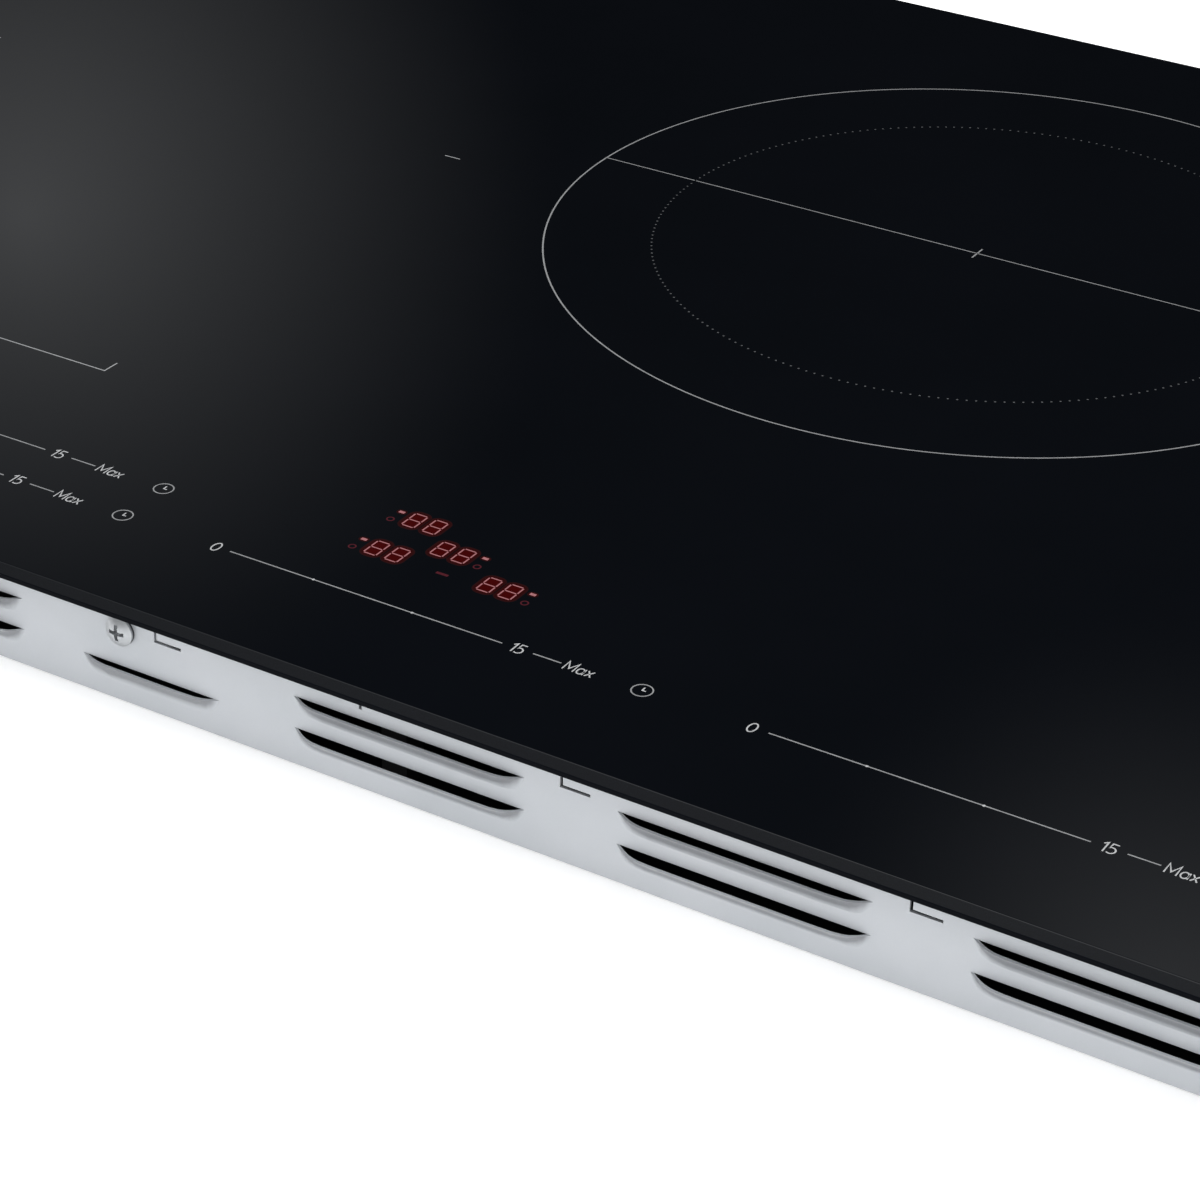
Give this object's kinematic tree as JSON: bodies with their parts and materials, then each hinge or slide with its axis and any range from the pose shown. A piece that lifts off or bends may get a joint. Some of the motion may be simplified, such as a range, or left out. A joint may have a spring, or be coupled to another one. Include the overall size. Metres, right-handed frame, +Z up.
{
  "type": "induction cooktop",
  "caption": "Built-in electric induction cooktop: black glass plate over a slim louvred steel case, with coils, fans, boards and swinging worktop clamps.",
  "frame": {"origin": "underside of the case, below the middle of the glass plate", "axes": "+X to the user's right along the long side, +Y to the back, +Z up"},
  "size_m": [0.8, 0.52, 0.0454],
  "materials": {
    "glass": "polished black glass-ceramic",
    "seal_foam": "closed-cell foam tape",
    "silicone": "cured silicone bead",
    "frame_steel": "zinc-coated folded sheet",
    "case_steel": "pale blue-grey zinc-coated sheet, satin",
    "screw_steel": "zinc-plated",
    "clamp_steel": "zinc-plated, pressed",
    "copper": "enamelled copper litz",
    "former_plastic": "moulded, heat-resistant",
    "ferrite": "sintered ferrite",
    "plate_aluminium": "rolled",
    "mica": "mica sheet",
    "sensor_ceramic": "white ceramic",
    "spring_steel": "spring wire",
    "black_plastic": "moulded",
    "rotor_plastic": "moulded",
    "circuit_board": "solder mask",
    "capacitor_plastic": "moulded case",
    "bus_plastic": "moulded case",
    "choke": "varnished winding",
    "nylon": "natural nylon",
    "brass": "turned",
    "rubber": "moulded",
    "display": "seven-segment displays",
    "pad_foam": "conductive foam"
  },
  "bodies": {
    "root": {"air_duct_left": "black_plastic", "air_duct_right": "black_plastic", "board_screws": "screw_steel", "board_standoffs": "nylon", "bridge_rectifiers": "black_plastic", "bus_capacitors": "bus_plastic", "carrier_springs": "spring_steel", "case_tray": "case_steel", "clamp_screws": "screw_steel", "coil_leads": "copper", "coil_plate_left": "plate_aluminium", "coil_plate_middle": "plate_aluminium", "coil_plate_right": "plate_aluminium", "control_board": "circuit_board", "control_holder": "black_plastic", "earth_stud": "brass", "fan_housing_left": "black_plastic", "fan_housing_right": "black_plastic", "fan_screws": "screw_steel", "ferrite_bars": "ferrite", "filter_board": "circuit_board", "filter_chokes": "choke", "flex_coil_1": "copper", "flex_coil_2": "copper", "flex_coil_3": "copper", "flex_coil_4": "copper", "flex_coil_formers": "former_plastic", "frame_screws": "screw_steel", "glass_frame": "frame_steel", "glass_top": "glass", "heat_sink_left": "plate_aluminium", "heat_sink_right": "plate_aluminium", "inlet_grommet": "rubber", "led_displays": "display", "mains_relays": "capacitor_plastic", "mica_sheet_left": "mica", "mica_sheet_middle": "mica", "mica_sheet_right": "mica", "middle_coil_former": "former_plastic", "middle_coil_inner": "copper", "middle_coil_outer": "copper", "power_board_left": "circuit_board", "power_board_right": "circuit_board", "power_transistors": "black_plastic", "rear_panel": "case_steel", "resonance_capacitors": "capacitor_plastic", "right_coil": "copper", "right_coil_former": "former_plastic", "silicone_bond": "silicone", "temperature_sensors": "sensor_ceramic", "terminal_block": "nylon", "terminal_screws": "brass", "touch_pads": "pad_foam", "worktop_seal": "seal_foam"},
    "clamp_front_left": {"clamp_front_left": "clamp_steel"},
    "clamp_front_right": {"clamp_front_right": "clamp_steel"},
    "clamp_rear_left": {"clamp_rear_left": "clamp_steel"},
    "clamp_rear_right": {"clamp_rear_right": "clamp_steel"},
    "fan_rotor_left": {"fan_rotor_left": "rotor_plastic"},
    "fan_rotor_right": {"fan_rotor_right": "rotor_plastic"}
  },
  "joints": [
    {"name": "clamp_front_left_swing", "type": "hinge", "parent": "root", "child": "clamp_front_left", "pos_m": [-0.371, -0.168, 0.007], "axis": [0, 0, 1], "range_deg": [0, 90]},
    {"name": "clamp_front_right_swing", "type": "hinge", "parent": "root", "child": "clamp_front_right", "pos_m": [0.371, -0.168, 0.007], "axis": [0, 0, -1], "range_deg": [0, 90]},
    {"name": "clamp_rear_left_swing", "type": "hinge", "parent": "root", "child": "clamp_rear_left", "pos_m": [-0.371, 0.168, 0.007], "axis": [0, 0, -1], "range_deg": [0, 90]},
    {"name": "clamp_rear_right_swing", "type": "hinge", "parent": "root", "child": "clamp_rear_right", "pos_m": [0.371, 0.168, 0.007], "axis": [0, 0, 1], "range_deg": [0, 90]},
    {"name": "fan_left_spin", "type": "hinge", "parent": "root", "child": "fan_rotor_left", "pos_m": [-0.317, 0.165, 0.012], "axis": [0, 0, 1], "continuous": true},
    {"name": "fan_right_spin", "type": "hinge", "parent": "root", "child": "fan_rotor_right", "pos_m": [0.317, 0.165, 0.012], "axis": [0, 0, 1], "continuous": true}
  ]
}
